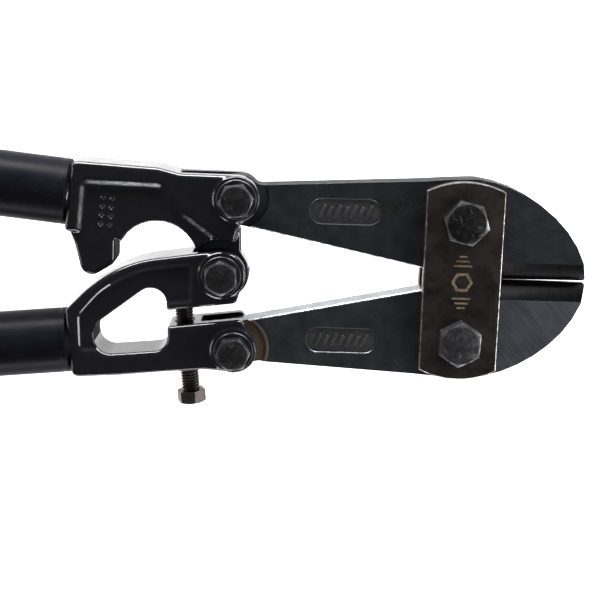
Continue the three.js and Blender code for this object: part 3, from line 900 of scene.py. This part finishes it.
class CUTTERS_OT_jaw_bolts(bpy.types.Operator):
    """Make the jaw bolts, their washers and nuts"""
    bl_idname = "cutters.jaw_bolts"
    bl_label = "Jaw bolts"

    def execute(self, context):
        sizes = context.scene.cutter_fasteners
        turns = {"upper": 0.3, "lower": -0.04}
        for word, pivot in (("upper", UPPER_JAW_PIVOT), ("lower", LOWER_JAW_PIVOT)):
            make_bolt_set(
                f"{word}_jaw", pivot, "link_plates", sizes.jaw_bolt_flats, 0.005, sizes.jaw_bolt_pitch,
                turns[word], 0.5, sizes.edges_round, f"{word}_bolt",
                [f"{word}_jaw_bolt"], [f"{word}_jaw_washer"], [f"{word}_jaw_nut"], 0.0105)
        return {"FINISHED"}


class CUTTERS_OT_pivot_bolts(bpy.types.Operator):
    """Make the handle pivot bolts, their washers and nuts"""
    bl_idname = "cutters.pivot_bolts"
    bl_label = "Pivot bolts"

    def execute(self, context):
        sizes = context.scene.cutter_fasteners
        pivots = (
            ("upper", UPPER_PIVOT, "upper_handle", -0.375),
            ("lower", LOWER_PIVOT, "lower_handle", -0.40),
            ("centre", CENTRE_PIVOT, "lower_handle", 0.05),
        )
        for word, pivot, body, turn in pivots:
            make_bolt_set(
                f"{word}_pivot", pivot, body, sizes.pivot_bolt_flats, 0.004, sizes.pivot_bolt_pitch,
                turn, turn, sizes.edges_round, "pivot",
                [f"{word}_pivot_bolt"],
                [f"{word}_pivot_front_washer", f"{word}_pivot_rear_washer"],
                [f"{word}_pivot_nut"], 0.0084)
        return {"FINISHED"}


SEAT_GAP = 0.0001  # between a bolt head and what it sits on


def make_bolt_set(name, pivot, body, flats, shank, pitch, turn, nut_turn, facets, finish,
                  bolts, washers, nuts, washer_radius):
    """A bolt with head, shank and thread, its washers and its nut."""
    steel = finishes()[finish]
    low_end = level(bolts[0], False)
    head_top = level(bolts[0], True)
    under_head = washers[0] if len(washers) == 2 else "front_side_plate"
    seat = level(under_head, True) + SEAT_GAP
    nut_low = level(nuts[0], False)
    nut_high = level(nuts[0], True)
    spot = Matrix.Translation((pivot.x, pivot.y, 0))

    bm = bmesh.new()
    fresh_part(bm, lambda part: (
        hex_head(part, flats, head_top - seat, facets),
        place_at(part, Matrix.Translation((0, 0, seat)) @ Matrix.Rotation(turn, 4, "Z"))))
    fresh_part(bm, lambda part: plain_rod(part, shank * 0.985, nut_low + 0.001, seat + 0.0005))
    fresh_part(bm, lambda part: threaded_rod(part, shank * 0.995, pitch, low_end, nut_low + 0.0015))
    place_at(bm, spot)
    make_piece(f"{name}_hex_bolt", bm, body, [steel, finishes()["bolt_rim"]], bolts)

    for washer in washers:
        bm = bmesh.new()
        base, crown = level(washer, False), level(washer, True)
        bore = shank + 0.00035
        ease = 0.00025
        spin_profile(bm, [
            (bore, base), (washer_radius - ease, base), (washer_radius, base + ease),
            (washer_radius, crown - ease), (washer_radius - ease, crown), (bore, crown)],
            facets, closed=True)
        place_at(bm, spot)
        make_piece(f"{washer}_ring", bm, body, [finishes()["washer"]], [washer])

    bm = bmesh.new()
    hex_head(bm, flats, nut_high - nut_low, facets, both=True, hole=shank + 0.00015)
    place_at(bm, spot @ Matrix.Translation((0, 0, nut_low)) @ Matrix.Rotation(nut_turn, 4, "Z"))
    make_piece(f"{name}_hex_nut", bm, body, [steel, finishes()["bolt_rim"]], nuts)


class CUTTERS_OT_handle_heads(bpy.types.Operator):
    """Make the forged handle heads with rounded edges"""
    bl_idname = "cutters.handle_heads"
    bl_label = "Handle heads"
    MATT, WET = 1, 2  # material slots after the enamel

    def execute(self, context):
        sizes = context.scene.cutter_handles
        for word in ("upper", "lower"):
            bm = merged_copy(f"{word}_handle_head")
            if word == "upper":
                self.raised_mark(bm)
            piece = make_piece(
                f"{word}_head_forging", bm, f"{word}_handle",
                [finishes()[key] for key in ("enamel", "forged_wall", "wet_wall")],
                [f"{word}_handle_head"], crease=180.0)
            cells = piece.modifiers.new("Forging cells", "REMESH")
            cells.mode = "VOXEL"
            cells.voxel_size = sizes.forging_voxel
            cells.use_smooth_shade = True
            soft = piece.modifiers.new("Forging softness", "SMOOTH")
            soft.factor = 0.5
            soft.iterations = sizes.forging_softness
            settle(piece)
            self.coat_walls(piece.data)
        return {"FINISHED"}

    def coat_walls(self, mesh):
        """Walls that face +Y, towards the far softbox, take the lighter gloss copy of the enamel as
        painted light; the other walls and part of the window's inner border take the darker matt copy
        as painted shade.
        """
        for polygon in mesh.polygons:
            along = polygon.center.x - JAW_LINE
            if polygon.center.x < HANDLE_START.x:
                continue
            if abs(polygon.normal.z) < 0.42:
                # Painted light and shade: walls facing +Y take the lit gloss copy, the others the
                # shaded matt copy.
                polygon.material_index = self.WET if polygon.normal.y > 0.25 else self.MATT
            elif self.on_inner_border(polygon, along):
                polygon.material_index = self.MATT

    def on_inner_border(self, polygon, along):
        """The low step round the lower forging's window, except its left end: the matt copy puts
        painted shade over its highlight there.
        """
        return (
            -0.148 < along < -0.110 and -0.014 < polygon.center.y < 0.007
            and abs(polygon.center.z - MID) > 0.01015
            and polygon.normal.y < 0.1 and abs(polygon.normal.z) < 0.97)

    def raised_mark(self, bm):
        """A small block of raised round pips in place of a size mark."""
        panel = MID + 0.0094
        spacing = 0.0038
        turn = Matrix.Rotation(math.radians(-6), 4, "Z")
        spot = Matrix.Translation((JAW_LINE - 0.1496, 0.0256, panel)) @ turn

        def pip(x, y):
            def build(part):
                spin_profile(part, [(0, -0.0010), (0.0008, -0.0010), (0.0008, 0.0006), (0, 0.0010)], 16)
                place_at(part, spot @ Matrix.Translation((x, y, 0)))
            return build

        for column in (-0.5, 0.5):
            for row in (-1.5, -0.5, 0.5, 1.5):
                fresh_part(bm, pip(column * spacing, row * spacing))


class CUTTERS_OT_adjusting_screw(bpy.types.Operator):
    """Make the threaded adjusting screw"""
    bl_idname = "cutters.adjusting_screw"
    bl_label = "Adjusting screw"

    def execute(self, context):
        sizes = context.scene.cutter_fasteners
        bm = bmesh.new()
        radius, tip, head_at, head_height, head_turn = 0.00395, -0.004, 0.0325, 0.0056, 0.2
        fresh_part(bm, lambda part: (
            threaded_rod(part, radius, sizes.pivot_bolt_pitch, tip, head_at + 0.0005)))
        fresh_part(bm, lambda part: (
            hex_head(part, sizes.screw_flats, head_height, sizes.edges_round),
            place_at(part, Matrix.Translation((0, 0, head_at)) @ Matrix.Rotation(head_turn, 4, "Z"))))
        place_along(bm, SCREW_AXIS, SCREW_FOOT)
        make_piece(
            "adjusting_hex_screw", bm, "stop_screw",
            [finishes()["screw"], finishes()["screw"]], ["adjusting_screw"])
        return {"FINISHED"}


class CUTTERS_OT_handle_tubes(bpy.types.Operator):
    """Make the coated handle tubes"""
    bl_idname = "cutters.handle_tubes"
    bl_label = "Handle tubes"

    def execute(self, context):
        radius = context.scene.cutter_handles.tube_radius
        bore = 0.0121
        start, end = -0.0015, 0.521
        groove = radius - 0.00012
        plain_from = start + 0.0036
        rings = 12
        profile = [
            (bore, start), (radius - 0.0007, start), (radius - 0.0002, start + 0.0002),
            (radius, start + 0.0007), (radius, start + 0.0024), (groove, start + 0.0028),
            (groove, start + 0.0032), (radius, plain_from),
        ]
        profile += [(radius, plain_from + (end - plain_from) * (k + 1) / rings) for k in range(rings)]
        profile += [(bore, end)]
        for word, side in (("upper", 1), ("lower", -1)):
            bm = bmesh.new()
            spin_profile(bm, profile, 96, closed=True)
            place_on_handle(bm, side)
            make_piece(
                f"{word}_tube", bm, f"{word}_handle",
                [finishes()["coating"]], [f"{word}_handle_tube"])
        return {"FINISHED"}


class CUTTERS_OT_grips(bpy.types.Operator):
    """Make the ribbed rubber grips"""
    bl_idname = "cutters.grips"
    bl_label = "Grips"

    def execute(self, context):
        sizes = context.scene.cutter_handles
        radius = sizes.grip_radius
        start, end = 0.345, 0.5297
        tube_end = 0.5216
        inner = sizes.tube_radius + 0.00025
        profile = [
            (inner, start + 0.0004), (inner + 0.0006, start), (radius + 0.0004, start),
            (radius + 0.0013, start + 0.0012), (radius + 0.0014, start + 0.0040),
            (radius + 0.0013, start + 0.0058), (radius + 0.0004, start + 0.0080),
            (radius - 0.0003, start + 0.0105), (radius - 0.0005, start + 0.0150),
        ]
        first_ring, pitch = 0.024, 0.0052
        for k in range(sizes.grip_rings):
            at = start + first_ring + k * pitch
            swell = 0.0007 * math.sin(math.pi * (k + 0.5) / sizes.grip_rings)
            crown = radius - 0.0003 - swell
            profile += [
                (crown, at), (crown - 0.0009, at + 0.0006), (crown - 0.0011, at + 0.0012),
                (crown - 0.0009, at + 0.0018), (crown, at + 0.0024), (crown + 0.0001, at + 0.0038),
            ]
        profile += [
            (radius - 0.0004, end - 0.026), (radius, end - 0.022), (radius, end - 0.0060),
            (radius - 0.0006, end - 0.0030), (radius - 0.0022, end - 0.0008), (radius - 0.0045, end),
            (0.0060, end), (0.0050, end - 0.0006), (0.0, end - 0.0006),
            (0.0, tube_end), (inner, tube_end),
        ]
        for word, side in (("upper", 1), ("lower", -1)):
            bm = bmesh.new()
            spin_profile(bm, profile, 80, closed=True)
            place_on_handle(bm, side)
            make_piece(
                f"{word}_rubber_grip", bm, f"{word}_handle",
                [finishes()["rubber"]], [f"{word}_grip"], crease=60.0)
        return {"FINISHED"}


class CUTTERS_OT_stage(bpy.types.Operator):
    """Set the floor, the lights and the camera"""
    bl_idname = "cutters.stage"
    bl_label = "Stage"

    def execute(self, context):
        studio = context.scene.cutter_studio
        self.floor(studio)
        self.lights()
        self.camera(context, studio)
        return {"FINISHED"}

    def floor(self, studio):
        bm = bmesh.new()
        bmesh.ops.create_grid(bm, x_segments=4, y_segments=4, size=20.0)
        mesh = bpy.data.meshes.new("floor")
        bm.to_mesh(mesh)
        bm.free()
        mesh.materials.append(floor_paper(studio.floor))
        floor = bpy.data.objects.new("floor", mesh)
        bpy.context.scene.collection.objects.link(floor)
        floor.location.z = CAD_BOX[0][2] - 0.0002

    def lights(self):
        world = bpy.data.worlds.new("studio")
        world.use_nodes = True
        sky = world.node_tree.nodes["Background"]
        sky.inputs["Color"].default_value = (0.90, 0.94, 1.0, 1.0)
        sky.inputs["Strength"].default_value = 0.10
        bpy.context.scene.world = world
        aim = Vector((JAW_LINE - 0.07, 0, MID))
        for name, place, size, power in (
            ("far softbox", (0.0, 1.50, 0.26), (2.6, 0.50), 190.0),
            ("near strip", (0.1, -1.60, 0.42), (2.4, 0.40), 48.0),
            ("left softbox", (-1.60, -0.2, 0.45), (0.90, 0.9), 12.0),
            ("right softbox", (1.55, -0.25, 0.62), (0.90, 0.9), 36.0),
        ):
            data = bpy.data.lights.new(name, "AREA")
            data.shape = "RECTANGLE"
            data.size, data.size_y = size
            data.energy = power
            lamp = bpy.data.objects.new(name, data)
            bpy.context.scene.collection.objects.link(lamp)
            lamp.location = aim + Vector(place)
            lamp.rotation_euler = (aim - lamp.location).to_track_quat("-Z", "Y").to_euler()

    def camera(self, context, studio):
        data = bpy.data.cameras.new("camera")
        data.lens = studio.lens
        data.sensor_width = 36.0
        data.clip_start = 0.01
        camera = bpy.data.objects.new("camera", data)
        context.scene.collection.objects.link(camera)
        aim = Vector((JAW_LINE - 0.0678, -0.0119, MID))
        turn = Matrix.Rotation(studio.roll, 4, "Z") @ Matrix.Rotation(-studio.tilt, 4, "X")
        camera.location = aim + turn @ Vector((0, 0, studio.distance))
        camera.rotation_euler = turn.to_euler()
        context.scene.camera = camera
        context.scene.view_settings.view_transform = "Standard"


OPERATORS = (
    CUTTERS_OT_stage,
    CUTTERS_OT_jaws,
    CUTTERS_OT_side_plates,
    CUTTERS_OT_plate_mark,
    CUTTERS_OT_jaw_bolts,
    CUTTERS_OT_pivot_bolts,
    CUTTERS_OT_handle_heads,
    CUTTERS_OT_adjusting_screw,
    CUTTERS_OT_handle_tubes,
    CUTTERS_OT_grips,
)


class CUTTERS_PT_panel(bpy.types.Panel):
    """Bolt cutters"""
    bl_idname = "CUTTERS_PT_panel"
    bl_label = "Bolt cutters"
    bl_space_type = "VIEW_3D"
    bl_region_type = "UI"
    bl_category = "Bolt cutters"

    def draw(self, context):
        layout = self.layout
        for operator in OPERATORS:
            layout.operator(operator.bl_idname)
        for settings in ("cutter_fasteners", "cutter_handles", "cutter_finishes", "cutter_studio"):
            group = getattr(context.scene, settings)
            box = layout.box()
            for name in group.__annotations__:
                box.prop(group, name)


SETTINGS = {
    "cutter_fasteners": FastenerSettings,
    "cutter_handles": HandleSettings,
    "cutter_finishes": FinishSettings,
    "cutter_studio": StudioSettings,
}


def register():
    for kind in (*SETTINGS.values(), *OPERATORS, CUTTERS_PT_panel):
        bpy.utils.register_class(kind)
    for name, kind in SETTINGS.items():
        setattr(bpy.types.Scene, name, PointerProperty(type=kind))


def unregister():
    for name in SETTINGS:
        delattr(bpy.types.Scene, name)
    for kind in reversed((*SETTINGS.values(), *OPERATORS, CUTTERS_PT_panel)):
        bpy.utils.unregister_class(kind)


def main():
    register()
    bpy.ops.cutters.stage()
    bpy.ops.cutters.jaws()
    bpy.ops.cutters.side_plates()
    bpy.ops.cutters.plate_mark()
    bpy.ops.cutters.jaw_bolts()
    bpy.ops.cutters.pivot_bolts()
    bpy.ops.cutters.handle_heads()
    bpy.ops.cutters.adjusting_screw()
    bpy.ops.cutters.handle_tubes()
    bpy.ops.cutters.grips()


if __name__ == "__main__":
    main()
